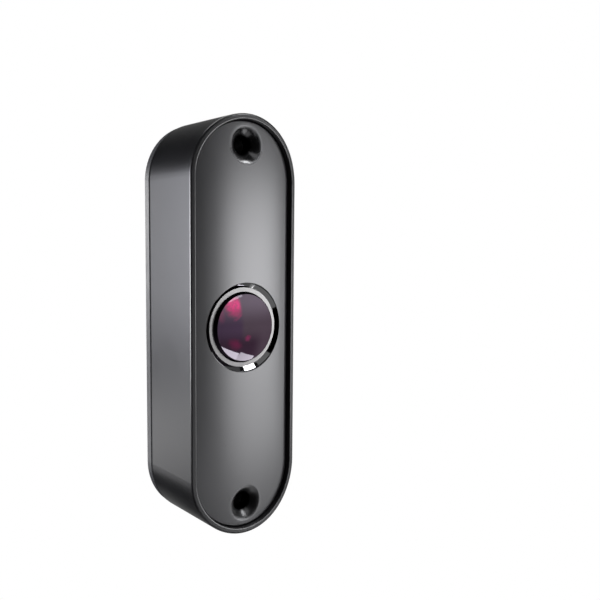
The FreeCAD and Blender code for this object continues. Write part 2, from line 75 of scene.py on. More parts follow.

# Screw holes of the front plate, from the record's own pattern
HOLES = next(m for m in frame["record"]["mounts"] if m["name"] == "fixing_holes")
HOLE_HEIGHT = HOLES["dims"]["spacing_y_mm"] * MM / 2
HOLE_RADIUS = HOLES["dims"]["hole_r_mm"] * MM
SINK_RADIUS = 4.5 * MM
MOUTH_OUT = SINK_RADIUS + 0.7 * MM  # reach of the finish of a countersink's mouth
CONE_OUT = SINK_RADIUS - 0.2 * MM  # reach of the finish of its cone, and of the painted shade that darkens it
SINK_BLEND = 0.2 * MM  # width over which one of these finishes gives way to the next
SHADE_OUT = HOLE_RADIUS + 0.1 * MM  # inside this radius a cone is painted black and unreflecting, as shade
SHADE_FADE = 0.6 * MM  # width over which that painted shade fades out

# Round funnel that the normal follows in a countersink
FUNNEL_IN = SINK_RADIUS - 1.6 * MM
FUNNEL_OUT = SINK_RADIUS + 0.25 * MM
FUNNEL_STEEP = 1.0  # slope at its inner end
FUNNEL_FLAT = 0.3  # slope at its outer end
FUNNEL_EDGE = 0.1 * MM  # width over which it gives way to the plate
FUNNEL_DEPTHS = (-20 * MM, -21 * MM)  # depths between which it comes in, towards the front

# Lens ring and lens, with radii round the lens axis
RING_FACE_OUT = 10.5 * MM
RING_BLEND = 0.06 * MM  # width over which the dish's finish gives way to the face's
LENS_RADIUS = 8.95 * MM
LENS_RIM = 0.2 * MM  # how far the filter's dark edge, also painted unreflecting as shade, reaches in from its side
LENS_BLEND = 0.1 * MM  # width over which it gives way to the filter's own colour
DOME_CENTRE = (0, -2.65 * MM, 0)  # middle of the ball that the lens's front belongs to

# Stretches of the filter over which one tone, or painted light or shade, gives way to another, seen from
# the front
# The brown is a painted reflection, the pale top painted light and the deep foot painted shade
BROWN_ACROSS = (-2.8 * MM, -1.2 * MM)
PALE_UPWARDS = (0.5 * MM, 9 * MM)
DEEP_DOWNWARDS = (0.5 * MM, -4.5 * MM)
DEEP_ACROSS = (1 * MM, 6 * MM)
# The glow is painted light
GLOW_ACROSS = (-2.6 * MM, -1.6 * MM)
GLOW_UPWARDS = (4 * MM, 7 * MM)
SWAY_PITCH = 1.6 * MM  # size of the waves in the painted light inside the filter
SWAY = 1.2 * MM  # how far they reach
GRIT_PITCH = 0.8 * MM  # size of the patches in the painted glow
TRAIL_GLOW = 0.35  # strength of the painted glow's trail
SIDE_GLOW = 0.22  # strength of the weak painted glow at the left edge

# Finishes
UNLIT = (0.0, 0.0, 0.0, 1.0)  # black painted as shade in narrow places of the body, and the black of the tent's cards
PLASTIC_IOR = 1.6
FILTER_IOR = 1.5
HOUSING_TINT = (0.975, 0.975, 1.0, 1.0)
PLATE_TINT = (0.965, 0.967, 1.0, 1.0)
MOUTH_ROUGHNESS = 0.4  # of the lower mouth and of the upper one's top
LOWER_CONE_ROUGHNESS = 0.3
RIM_ROUGHNESS = 0.6  # of the filter's dark edge
BASE_PEAKS = (0.35, 0.65)  # heights of the base's grain between which it turns paler
FACE_SATIN = 0.24  # how much rougher the ring's flat face is than its dish
FACE_METAL = 0.5  # share of the face that shines as bare metal
BROAD_GRAIN = 24.0  # grains across one patch of a moulding's slow tone

# Rows of soldered pins on the board: count, first place across, pitch and height
SOLDER_ROWS = (
    (5, -10 * MM, 5 * MM, -26.8 * MM),
    (2, -9 * MM, 4 * MM, 16 * MM),
    (3, 3.46 * MM, 2.54 * MM, 16 * MM),
)

# The camera of the photograph, worked out from the object's own edges
CAMERA_PLACE = (-103.465 * MM, -164.035 * MM, 22.156 * MM)
CAMERA_YAW = math.radians(41.034)
CAMERA_PITCH = math.radians(4.848)
CAMERA_ROLL = math.radians(0.553)
CAMERA_LENS = 39.984
SENSOR = 36.0

# Studio
AXIS_POINT = Vector((0, -12 * MM, 0))  # middle of the body, which the lamps look at
LEFT_LAMP_COLOUR = (0.89, 0.9, 1.0)
LENS_CARD_COLOUR = (0.93, 0.87, 1.0)
FLOOR_RADIUS = 1.2
FLOOR_SIDES = 96
FLOOR_FADE = (0.12, 0.35)  # distances along the floor between which it turns white
TENT_REACH = 0.75
TENT_GAP = 1 * MM  # from the floor
TENT_STEP = 4  # degrees along the side of a cell
TENT_TOP = 84  # degrees up to the tent's open top, and down to its open foot
TENT_WINDOW = (-180, -128, -6, 12)  # lowest and highest azimuth and elevation, in degrees


def colour_property(name, description, default):
    """Colour that a user can change."""
    return FloatVectorProperty(
        name=name, description=description, subtype="COLOR", size=3, min=0.0, max=1.0, default=default
    )


def share_property(name, description, default):
    """Share between 0 and 1 that a user can change."""
    return FloatProperty(
        name=name, description=description, subtype="FACTOR", min=0.0, max=1.0, default=default
    )


def length_property(name, description, default):
    """Length that a user can change."""
    return FloatProperty(name=name, description=description, unit="LENGTH", default=default)


def brightness_property(name, description, default):
    """Brightness that a user can change, where 1 is white."""
    return FloatProperty(name=name, description=description, min=0.0, default=default)


class FinishSettings(bpy.types.PropertyGroup):
    """Colours and gloss of the housing, the base, the plate and the ring."""

    housing_colour: colour_property(
        "Housing colour", "Black moulded plastic of the housing", (0.008, 0.008, 0.009)
    )
    plate_colour: colour_property(
        "Plate colour", "Black moulded plastic of the front plate", (0.011, 0.011, 0.012)
    )
    housing_gloss: share_property("Housing roughness", "Roughness of the satin housing", 0.3)
    plate_gloss: share_property("Plate roughness", "Roughness of the satin front plate", 0.28)
    sink_gloss: share_property("Countersink roughness", "Roughness round the upper screw hole", 0.22)
    base_colour: colour_property("Base colour", "Grained plastic of the rear base", (0.07, 0.07, 0.074))
    dish_colour: colour_property("Ring dish colour", "Polished metal of the ring's dish", (0.5, 0.5, 0.51))
    face_colour: colour_property(
        "Ring face colour", "Satin silver of the ring's flat face", (0.1, 0.098, 0.1)
    )


class LensSettings(bpy.types.PropertyGroup):
    """Colours of the infrared filter, with the painted light, reflection and shade on it."""

    plum: colour_property("Left colour", "Plum tone of the filter's left half", (0.048, 0.031, 0.051))
    # Painted reflection: the brown right half
    painted_reflection_brown: colour_property("Right colour", "Brown tone of the filter's right half", (0.058, 0.043, 0.052))
    # Painted light: the paler top
    painted_top_light: colour_property("Upper colour", "Paler tone at the filter's top", (0.18, 0.15, 0.178))
    # Painted shade: the deeper foot
    painted_foot_shade: colour_property("Lower colour", "Deeper tone at the filter's foot", (0.024, 0.013, 0.021))
    # Painted light: the red glow
    glow: colour_property("Glow", "Red light that gathers at the filter's upper left", (0.9, 0.1, 0.28))
    # Painted glints
    painted_spark: colour_property("Spark", "Red glints of the inner lamp", (0.125, 0.022, 0.055))
    # Dark edge, also painted unreflecting as shade
    dark_rim_and_shade: colour_property("Edge colour", "Dark edge of the filter", (0.004, 0.003, 0.004))


class SolderSettings(bpy.types.PropertyGroup):
    """Sizes of the soldered joints on the board's front."""

    foot_radius: length_property("Foot radius", "Radius of a joint at the board", 0.95 * MM)
    pin_radius: length_property("Pin radius", "Radius of a joint at its tip", 0.42 * MM)
    height: length_property("Height", "How far a joint climbs along its pin", 0.55 * MM)
    sides: IntProperty(name="Sides", description="Sides of a joint's round foot", min=8, default=20)


class StageSettings(bpy.types.PropertyGroup):
    """Lamps, floor and background."""

    floor_drop: length_property("Floor drop", "Distance from the housing's lower end to the floor", 0.4)
    lamp_distance: length_property("Lamp distance", "Distance from the body to each soft lamp", 0.6)
    card_distance: length_property("Card distance", "Distance from the body to each near card", 0.4)
    right_lamp: brightness_property("Right lamp", "Brightness of the soft lamp at the right", 9.4)
    left_lamp: brightness_property("Left lamp", "Brightness of the soft lamp at the left rear", 7.5)
    upper_lamp: brightness_property("Upper lamp", "Brightness of the soft lamp above the front", 8.0)
    edge_lamp: brightness_property("Edge lamp", "Brightness of the lamp on the housing's front edge", 19.0)
    fill_lamp: brightness_property("Fill lamp", "Brightness of the low fill", 1.5)
    lens_cards: brightness_property("Lens cards", "Brightness of the cards that the lens mirrors", 12.0)
    sink_cards: brightness_property("Countersink cards", "Brightness of the countersinks' cards", 1.7)
    ring_cards: brightness_property("Ring cards", "Brightness of the dim cards that the ring mirrors", 0.2)
    ambient: brightness_property("Ambient", "Brightness of the room on matt surfaces", 0.35)


def put(tree, kind, inputs=None, **settings):
    """Adds a node to the tree, sets it up and gives each named input a value or a link."""
    made = tree.nodes.new(kind)
    for name, value in settings.items():
        setattr(made, name, value)
    set_inputs(tree, made, inputs or {})
    return made


def set_inputs(tree, node, values):
    """Gives a node's sockets plain values or links."""
    for name, value in values.items():
        if isinstance(value, bpy.types.NodeSocket):
            tree.links.new(value, node.inputs[name])
        else:
            node.inputs[name].default_value = value


def calc(tree, operation, a, b=0.0, clamp=False):
    """Result of a Math node."""
    return put(tree, "ShaderNodeMath", {0: a, 1: b}, operation=operation, use_clamp=clamp).outputs[0]


def vector_calc(tree, operation, a, b=(0, 0, 0)):
    """Vector that a Vector Math node makes of two others."""
    return put(tree, "ShaderNodeVectorMath", {0: a, 1: b}, operation=operation).outputs[0]


def scaled(tree, vector, scale):
    """Vector made longer or shorter."""
    return put(tree, "ShaderNodeVectorMath", {0: vector, "Scale": scale}, operation="SCALE").outputs[0]


def length_of(tree, vector):
    """Length of a vector."""
    return put(tree, "ShaderNodeVectorMath", {0: vector}, operation="LENGTH").outputs["Value"]


def parts_of(tree, vector):
    """X, Y and Z of a vector, as outputs."""
    return put(tree, "ShaderNodeSeparateXYZ", {"Vector": vector}).outputs


def flat_vector(tree, x, z):
    """Vector in the plane of the front."""
    return put(tree, "ShaderNodeCombineXYZ", {"X": x, "Z": z}).outputs[0]


def ramp(tree, value, low, high, start=0.0, end=1.0, kind="SMOOTHSTEP"):
    """The value carried from one range to another, smoothly unless another kind is given."""
    inputs = {"Value": value, "From Min": low, "From Max": high, "To Min": start, "To Max": end}
    return put(tree, "ShaderNodeMapRange", inputs, interpolation_type=kind).outputs[0]


def blend_values(tree, share, first, second):
    """Number between two others."""
    return put(tree, "ShaderNodeMix", {0: share, 2: first, 3: second}, data_type="FLOAT").outputs[0]


def blend_vectors(tree, share, first, second):
    """Vector between two others."""
    return put(tree, "ShaderNodeMix", {0: share, 4: first, 5: second}, data_type="VECTOR").outputs[1]


def blend_colours(tree, share, first, second):
    """Colour between two others."""
    return put(tree, "ShaderNodeMix", {0: share, 6: first, 7: second}, data_type="RGBA").outputs[2]


def solid(colour):
    """Colour with full opacity."""
    return (*colour, 1.0)


def darker(colour, share):
    """Colour brought down to a share of itself, with full opacity."""
    return (*[c * share for c in colour], 1.0)


def toned(tree, mask, colour, least):
    """Colour that falls to the least share of itself where the mask is 0."""
    return blend_colours(tree, mask, darker(colour, least), solid(colour))


def group_tree(name, vectors, values, results):
    """Empty shader group with named vectors and values going in and values coming out, and its ends."""
    tree = bpy.data.node_groups.new(name, "ShaderNodeTree")
    for label in vectors:
        tree.interface.new_socket(label, in_out="INPUT", socket_type="NodeSocketVector")
    for label in values:
        tree.interface.new_socket(label, in_out="INPUT", socket_type="NodeSocketFloat")
    for label in results:
        tree.interface.new_socket(label, in_out="OUTPUT", socket_type="NodeSocketFloat")
    return tree, tree.nodes.new("NodeGroupInput").outputs, tree.nodes.new("NodeGroupOutput").inputs


def moulded_grain_group():
    """Fine grain of a moulded surface: roughness that varies, a height for bump and a slow tone."""
    tree, given, result = group_tree(
        "Moulded grain", ["Vector"], ["Grain", "Roughness", "Spread"], ["Roughness", "Height", "Tone"]
    )
    pitch = calc(tree, "DIVIDE", 1.0, given["Grain"])
    inputs = {"Vector": given["Vector"], "Scale": pitch, "Detail": 2.0}
    fine = put(tree, "ShaderNodeTexNoise", inputs).outputs[0]
    inputs = {"Vector": given["Vector"], "Scale": calc(tree, "DIVIDE", pitch, BROAD_GRAIN), "Detail": 3.0}
    broad = put(tree, "ShaderNodeTexNoise", inputs).outputs[0]
    drift = calc(tree, "SUBTRACT", calc(tree, "ADD", fine, broad), 1.0)
    change = calc(tree, "MULTIPLY", drift, given["Spread"])
    rough = calc(tree, "ADD", given["Roughness"], change, clamp=True)
    tree.links.new(rough, result["Roughness"])
    tree.links.new(fine, result["Height"])
    tree.links.new(broad, result["Tone"])


def around_axis_group():
    """Mask that is 1 inside a radius round an axis along the depth, and 0 outside it."""
    tree, given, result = group_tree(
        "Around an axis", ["Vector"], ["Height", "Radius", "Soft edge"], ["Mask"]
    )
    place = parts_of(tree, given["Vector"])
    rise = calc(tree, "SUBTRACT", place["Z"], given["Height"])
    distance = length_of(tree, flat_vector(tree, place["X"], rise))
    far = calc(tree, "ADD", given["Radius"], given["Soft edge"])
    mask = ramp(tree, distance, given["Radius"], far, start=1.0, end=0.0)
    tree.links.new(mask, result["Mask"])


def soft_oval_group():
    """Mask of a turned oval in the front view, whose edge is soft."""
    tree, given, result = group_tree(
        "Soft oval", ["Vector", "Centre", "Half size", "Turn"], ["Soft edge"], ["Mask"]
    )
    inputs = {
        "Vector": given["Vector"],
        "Location": given["Centre"],
        "Rotation": given["Turn"],
        "Scale": given["Half size"],
    }
    local = put(tree, "ShaderNodeMapping", inputs, vector_type="TEXTURE").outputs[0]
    place = parts_of(tree, local)
    distance = length_of(tree, flat_vector(tree, place["X"], place["Z"]))
    inner = calc(tree, "SUBTRACT", 1.0, given["Soft edge"])
    outer = calc(tree, "ADD", 1.0, given["Soft edge"])
    mask = ramp(tree, distance, inner, outer, start=1.0, end=0.0)
    tree.links.new(mask, result["Mask"])


def placed_group(tree, name, inputs):
    """Outputs of a shared group, placed in a material with its own values."""
    made = put(tree, "ShaderNodeGroup", node_tree=bpy.data.node_groups[name])
    set_inputs(tree, made, inputs)
    return made.outputs


def grained(tree, place, grain, rough, spread):
    """Outputs of the moulded grain group."""
    inputs = {"Vector": place, "Grain": grain, "Roughness": rough, "Spread": spread}
    return placed_group(tree, "Moulded grain", inputs)


def within(tree, place, height, radius, soft):
    """Mask of the axis group."""
    inputs = {"Vector": place, "Height": height, "Radius": radius, "Soft edge": soft}
    return placed_group(tree, "Around an axis", inputs)["Mask"]


def oval(tree, place, across, height, half_width, half_height, turn, soft):
    """Mask of the oval group. Places and sizes are millimetres, the turn is degrees."""
    inputs = {
        "Vector": place,
        "Centre": (across * MM, 0, height * MM),
        "Half size": (half_width * MM, 1, half_height * MM),
        "Turn": (0, math.radians(turn), 0),
        "Soft edge": soft,
    }
    return placed_group(tree, "Soft oval", inputs)["Mask"]


def new_material(name):
    """Material with a Principled shader: its tree, the shader and the object coordinates."""
    material = bpy.data.materials.new(name)
    material.use_nodes = True
    tree = material.node_tree
    shader = tree.nodes["Principled BSDF"]
    place = put(tree, "ShaderNodeTexCoord").outputs["Object"]
    return material, tree, shader, place


def bumped(tree, height, relief):
    """Normal from a height that stands for the given real depth."""
    inputs = {"Height": height, "Strength": 1.0, "Distance": relief}
    return put(tree, "ShaderNodeBump", inputs).outputs[0]


def moulded_plastic(name, colour, rough, spread, grain, relief):
    """Plain moulded plastic or rubber with a fine grain."""
    material, tree, shader, place = new_material(name)
    surface = grained(tree, place, grain, rough, spread)
    inputs = {
        "Base Color": toned(tree, surface["Tone"], colour, least=0.82),
        "Roughness": surface["Roughness"],
        "Normal": bumped(tree, surface["Height"], relief),
    }
    set_inputs(tree, shader, inputs)
    return material


def housing_plastic(finish):
    """Satin plastic of the housing, with painted shade in the seam at its back edge."""
    material, tree, shader, place = new_material("Satin housing")
    surface = grained(tree, place, grain=0.2 * MM, rough=finish.housing_gloss, spread=0.04)
    tone = toned(tree, surface["Tone"], finish.housing_colour, least=0.82)
    # Painted shade in the seam: black with no reflection
    painted_seam_shade = ramp(tree, parts_of(tree, place)["Y"], *SEAM_SHADE)
    inputs = {
        "Base Color": blend_colours(tree, painted_seam_shade, tone, UNLIT),
        "Roughness": surface["Roughness"],
        "Metallic": painted_seam_shade,
        "Normal": bumped(tree, surface["Height"], relief=0.0004 * MM),
        "IOR": PLASTIC_IOR,
        "Specular Tint": HOUSING_TINT,
    }
    set_inputs(tree, shader, inputs)
    return material


def base_plastic(finish):
    """Coarsely grained plastic of the rear base, paler on the peaks of its grain."""
    material, tree, shader, place = new_material("Grained base")
    surface = grained(tree, place, grain=0.32 * MM, rough=0.4, spread=0.2)
    peaks = ramp(tree, surface["Height"], *BASE_PEAKS)
    inputs = {
        "Base Color": toned(tree, peaks, finish.base_colour, least=0.62),
        "Roughness": surface["Roughness"],
        "Normal": bumped(tree, surface["Height"], relief=0.02 * MM),
    }
    set_inputs(tree, shader, inputs)
    return material


def hole_masks(tree, place, radius, soft):
    """Masks of a radius round the upper and the lower screw hole."""
    return [within(tree, place, height, radius, soft) for height in (HOLE_HEIGHT, -HOLE_HEIGHT)]


def funnel_normal(tree, place):
    """Normal of a round funnel about each screw hole, which steepens from its mouth inwards."""
    where = parts_of(tree, place)
    middle = calc(tree, "MULTIPLY", calc(tree, "SIGN", where["Z"]), HOLE_HEIGHT)
    spoke = flat_vector(tree, where["X"], calc(tree, "SUBTRACT", where["Z"], middle))
    reach = length_of(tree, spoke)
    lean = ramp(tree, reach, FUNNEL_IN, FUNNEL_OUT, -FUNNEL_STEEP, -FUNNEL_FLAT, kind="LINEAR")
    inward = scaled(tree, vector_calc(tree, "NORMALIZE", spoke), lean)
    return vector_calc(tree, "NORMALIZE", vector_calc(tree, "ADD", inward, (0, -1, 0)))


def plate_normal(tree, place, height):
    """Grained normal of the plate, which gives way to the funnels at the front of the screw holes."""
    mouths = calc(tree, "MAXIMUM", *hole_masks(tree, place, FUNNEL_OUT - FUNNEL_EDGE, FUNNEL_EDGE))
    front = ramp(tree, parts_of(tree, place)["Y"], *FUNNEL_DEPTHS)
    funnel = calc(tree, "MULTIPLY", mouths, front)
    grain = bumped(tree, height, relief=0.0001 * MM)
    return blend_vectors(tree, funnel, grain, funnel_normal(tree, place))


def plate_roughness(tree, place, plain, polished):
    """Roughness of the plate, polished in the upper countersink and duller in the lower one."""
    upper, lower = hole_masks(tree, place, MOUTH_OUT, SINK_BLEND)
    top = ramp(tree, parts_of(tree, place)["Z"], HOLE_HEIGHT - 2 * MM, HOLE_HEIGHT)
    rough = blend_values(tree, upper, plain, polished)
    rough = blend_values(tree, calc(tree, "MULTIPLY", upper, top), rough, MOUTH_ROUGHNESS)
    rough = blend_values(tree, lower, rough, MOUTH_ROUGHNESS)
    upper, lower = hole_masks(tree, place, CONE_OUT, SINK_BLEND)
    rough = blend_values(tree, upper, rough, polished)
    return blend_values(tree, lower, rough, LOWER_CONE_ROUGHNESS)


def plate_plastic(finish):
    """Satin plastic of the front plate, with painted shade in the cones round the screw holes."""
    material, tree, shader, place = new_material("Satin front plate")
    surface = grained(tree, place, grain=0.2 * MM, rough=finish.plate_gloss, spread=0.015)
    # Painted shade: darker cones, black with no reflection towards each hole
    painted_cone_shade = calc(tree, "MAXIMUM", *hole_masks(tree, place, CONE_OUT, SINK_BLEND))
    painted_hole_shade = calc(tree, "MAXIMUM", *hole_masks(tree, place, SHADE_OUT, SHADE_FADE))
    tone = toned(tree, surface["Tone"], finish.plate_colour, least=0.85)
    tone = blend_colours(tree, painted_cone_shade, tone, darker(finish.plate_colour, 0.25))
    inputs = {
        "Base Color": blend_colours(tree, painted_hole_shade, tone, UNLIT),
        "Roughness": plate_roughness(tree, place, surface["Roughness"], finish.sink_gloss),
        "Metallic": painted_hole_shade,
        "Normal": plate_normal(tree, place, surface["Height"]),
        "IOR": PLASTIC_IOR,
        "Specular Tint": PLATE_TINT,
    }
    set_inputs(tree, shader, inputs)
    return material


def ring_metal(finish):
    """Polished dish with a satin silver face."""
    material, tree, shader, place = new_material("Lens ring")
    face = within(tree, place, 0.0, RING_FACE_OUT - RING_BLEND / 2, RING_BLEND)
    surface = grained(tree, place, grain=0.12 * MM, rough=0.05, spread=0.02)
    satin = calc(tree, "MULTIPLY", face, FACE_SATIN)
    inputs = {
        "Base Color": blend_colours(tree, face, solid(finish.dish_colour), solid(finish.face_colour)),
        "Roughness": calc(tree, "ADD", surface["Roughness"], satin),
        "Metallic": blend_values(tree, face, 1.0, FACE_METAL),
    }
    set_inputs(tree, shader, inputs)
    return material


def filter_tone(tree, place, lens):
    """Ground colour of the filter, plum, turned brown across it by a painted reflection, paler at its top
    by painted light and deeper at its foot by painted shade.
    """
    where = parts_of(tree, place)
    tone = blend_colours(tree, ramp(tree, where["X"], *BROWN_ACROSS), solid(lens.plum), solid(lens.painted_reflection_brown))
    tone = blend_colours(tree, ramp(tree, where["Z"], *PALE_UPWARDS), tone, solid(lens.painted_top_light))
    thinning = ramp(tree, where["X"], *DEEP_ACROSS, start=1.0, end=0.35)
    painted_foot_mask = calc(tree, "MULTIPLY", ramp(tree, where["Z"], *DEEP_DOWNWARDS), thinning)
    return blend_colours(tree, painted_foot_mask, tone, solid(lens.painted_foot_shade))


def painted_filter_glow(tree, place):
    """Mask of the painted light at the filter's upper left, cut off straight at its right."""
    body = oval(tree, place, across=-4.0, height=5.8, half_width=2.0, half_height=2.2, turn=20, soft=0.6)
    trail = oval(tree, place, across=-2.9, height=3.2, half_width=1.3, half_height=0.35, turn=-35, soft=0.7)
    side = oval(tree, place, across=-7.7, height=3.9, half_width=0.7, half_height=1.6, turn=0, soft=0.8)
    cut = ramp(tree, parts_of(tree, place)["X"], *GLOW_ACROSS, start=1.0, end=0.0)
    inputs = {"Vector": place, "Scale": 1 / GRIT_PITCH, "Detail": 2.0}
    grit = put(tree, "ShaderNodeTexNoise", inputs).outputs[0]
    patchy = ramp(tree, grit, low=0.35, high=0.6, start=0.6)
    whole = calc(tree, "MAXIMUM", body, calc(tree, "MULTIPLY", trail, TRAIL_GLOW))
    whole = calc(tree, "MULTIPLY", whole, cut)
    whole = calc(tree, "MAXIMUM", whole, calc(tree, "MULTIPLY", side, SIDE_GLOW))
    return calc(tree, "MULTIPLY", whole, patchy)


def with_painted_sparks(tree, place, colour, lens):
    """Colour of the filter with the two painted red glints of the inner lamp on it."""
    small = oval(tree, place, across=-0.4, height=-2.7, half_width=0.9, half_height=0.6, turn=0, soft=0.7)
    broad = oval(tree, place, across=-3.9, height=-4.0, half_width=1.6, half_height=1.0, turn=25, soft=0.8)
    colour = blend_colours(tree, small, colour, solid(lens.painted_spark))
    return blend_colours(tree, broad, colour, darker(lens.painted_spark, 0.6))


def swaying(tree, place):
    """Object coordinates that sway a little, for the uneven painted light inside the filter."""
    inputs = {"Vector": place, "Scale": 1 / SWAY_PITCH, "Detail": 3.0}
    noise = put(tree, "ShaderNodeTexNoise", inputs).outputs["Color"]
    centred = vector_calc(tree, "SUBTRACT", noise, (0.5, 0.5, 0.5))
    return vector_calc(tree, "ADD", place, scaled(tree, centred, SWAY))


def dome_normal(tree, place):
    """Normal of the lens's domed front, straight from the ball it belongs to."""
    return vector_calc(tree, "NORMALIZE", vector_calc(tree, "SUBTRACT", place, DOME_CENTRE))


def lens_filter(lens):
    """Dark plum infrared filter with painted red light and glints, a painted reflection, painted light and
    shade, and a black edge painted unreflecting as shade.
    """
    material, tree, shader, place = new_material("Infrared filter")
    wavy = swaying(tree, place)
    # Painted light: the red glow, stronger towards the top
    rise = ramp(tree, parts_of(tree, wavy)["Z"], *GLOW_UPWARDS)
    glow = toned(tree, rise, lens.glow, least=0.55)
    colour = filter_tone(tree, place, lens)
    colour = blend_colours(tree, painted_filter_glow(tree, wavy), colour, glow)
    # Painted glints of the inner lamp
    colour = with_painted_sparks(tree, wavy, colour, lens)
    inside = within(tree, place, 0.0, LENS_RADIUS - LENS_RIM, LENS_BLEND)
    surface = grained(tree, place, grain=0.4 * MM, rough=0.03, spread=0.02)
    # At the dark edge, painted shade: black with no reflection
    inputs = {
        "Base Color": blend_colours(tree, inside, solid(lens.dark_rim_and_shade), colour),
        "Roughness": blend_values(tree, inside, RIM_ROUGHNESS, surface["Roughness"]),
        "Metallic": calc(tree, "SUBTRACT", 1.0, inside),
        "Normal": dome_normal(tree, place),
        "IOR": FILTER_IOR,
    }
    set_inputs(tree, shader, inputs)
    return material


def board_resist():
    """Green solder resist with copper tracks that show through it."""
    material, tree, shader, place = new_material("Solder resist")
    inputs = {
        "Vector": place,
        "Scale": 1.0,
        "Mortar Size": 0.18 * MM,
        "Brick Width": 6 * MM,
        "Row Height": 1.9 * MM,
    }
    tracks = put(tree, "ShaderNodeTexBrick", inputs).outputs["Fac"]
    surface = grained(tree, place, grain=0.3 * MM, rough=0.35, spread=0.06)
    inputs = {
        "Base Color": blend_colours(tree, tracks, (0.012, 0.11, 0.045, 1), (0.03, 0.2, 0.08, 1)),
        "Roughness": surface["Roughness"],
        "Normal": bumped(tree, tracks, relief=0.03 * MM),
    }
    set_inputs(tree, shader, inputs)
    return material


def plated_metal(name, colour, rough):
    """Plated or drawn metal with a faint tarnish."""
    material, tree, shader, place = new_material(name)
    surface = grained(tree, place, grain=0.15 * MM, rough=rough, spread=0.12)
    inputs = {
        "Base Color": toned(tree, surface["Tone"], colour, least=0.7),
        "Roughness": surface["Roughness"],
        "Metallic": 1.0,
    }
    set_inputs(tree, shader, inputs)
    return material


def legged_body(name, colour, half_width, centre_x):
    """Moulded body with tinned legs on its left and right sides."""
    material, tree, shader, place = new_material(name)
    aside = calc(tree, "ABSOLUTE", calc(tree, "SUBTRACT", parts_of(tree, place)["X"], centre_x))
    legs = calc(tree, "GREATER_THAN", aside, half_width)
    surface = grained(tree, place, grain=0.2 * MM, rough=0.45, spread=0.1)
    inputs = {
        "Base Color": blend_colours(tree, legs, solid(colour), (0.7, 0.7, 0.68, 1)),
        "Roughness": surface["Roughness"],
        "Metallic": legs,
    }
    set_inputs(tree, shader, inputs)
    return material


def soft_moulding(name, colour, rough, spread):
    """Moulded rubber or matt plastic with a soft, wide grain."""
    return moulded_plastic(name, colour, rough, spread, grain=0.3 * MM, relief=0.004 * MM)


def small_moulding(name, colour, rough, spread):
    """Moulded plastic of a small part on the board."""
    return moulded_plastic(name, colour, rough, spread, grain=0.2 * MM, relief=0.003 * MM)


def dress(node, material):
    """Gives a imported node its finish."""
    frame["nodes"][node].material_slots[0].material = material


class PHOTOCELL_OT_effects(bpy.types.Operator):
    """Build the shader groups that the finishes share"""

    bl_idname = "photocell.effects"
    bl_label = "Shared effects"

    def execute(self, context):
        moulded_grain_group()
        around_axis_group()
        soft_oval_group()
        return {"FINISHED"}


class PHOTOCELL_OT_body(bpy.types.Operator):
    """Finish the housing, the base and the rubber parts"""

    bl_idname = "photocell.body"
    bl_label = "Housing and base"

    def execute(self, context):
        finish = context.scene.photocell_finish
        dress("housing_shell", housing_plastic(finish))
        dress("rear_base", base_plastic(finish))
        rubber = soft_moulding("Black rubber", (0.02, 0.02, 0.02), rough=0.7, spread=0.1)
        for node in ("base_seal", "cable_grommet", "lens_seal"):
            dress(node, rubber)
        return {"FINISHED"}


class PHOTOCELL_OT_front(bpy.types.Operator):
    """Finish the front plate and the lens ring"""

    bl_idname = "photocell.front"
    bl_label = "Front plate and ring"

    def execute(self, context):
        finish = context.scene.photocell_finish
        dress("front_plate", plate_plastic(finish))
        dress("lens_ring", ring_metal(finish))
        return {"FINISHED"}


class PHOTOCELL_OT_lens(bpy.types.Operator):
    """Finish the lens and the light shield behind it"""

    bl_idname = "photocell.lens"
    bl_label = "Lens"

    def execute(self, context):
        dress("lens", lens_filter(context.scene.photocell_lens))
        shield = soft_moulding("Light shield", (0.02, 0.02, 0.022), rough=0.5, spread=0.08)
        dress("optic_tube", shield)
        return {"FINISHED"}


class PHOTOCELL_OT_electronics(bpy.types.Operator):
    """Finish the board and everything fixed to it"""

    bl_idname = "photocell.electronics"
    bl_label = "Board and parts"

    def execute(self, context):
        black = (0.02, 0.02, 0.022)
        white = (0.78, 0.77, 0.72)
        dress("circuit_board", board_resist())
        dress("photodiode", small_moulding("Sensor window", (0.012, 0.01, 0.016), rough=0.15, spread=0.04))
        dress("status_led", small_moulding("Lamp resin", (0.75, 0.12, 0.1), rough=0.2, spread=0.05))
        dress("control_chip", legged_body("Controller", black, half_width=1.95 * MM, centre_x=0.0))
        dress("output_relay", legged_body("Relay case", white, half_width=3.3 * MM, centre_x=0.0))
        dress("bridge_rectifier", legged_body("Rectifier", black, half_width=2.0 * MM, centre_x=-4.5 * MM))
        dress("voltage_regulator", small_moulding("Regulator", black, rough=0.45, spread=0.1))
        dress("supply_capacitor", plated_metal("Capacitor can", (0.72, 0.72, 0.74), rough=0.35))
        dress("surge_varistor", small_moulding("Varistor coat", (0.03, 0.12, 0.36), rough=0.35, spread=0.1))
        dress("terminal_block", small_moulding("Terminal body", (0.03, 0.2, 0.08), rough=0.4, spread=0.08))
        header = small_moulding("Header body", black, rough=0.45, spread=0.08)
        for node in ("jumper_pins", "jumper_cap"):
            dress(node, header)
        dress("terminal_clamps", plated_metal("Tinned brass", (0.72, 0.66, 0.5), rough=0.3))
        zinc = plated_metal("Zinc plating", (0.68, 0.69, 0.7), rough=0.28)
        for node in ("board_screws", "terminal_screws"):
            dress(node, zinc)
        return {"FINISHED"}


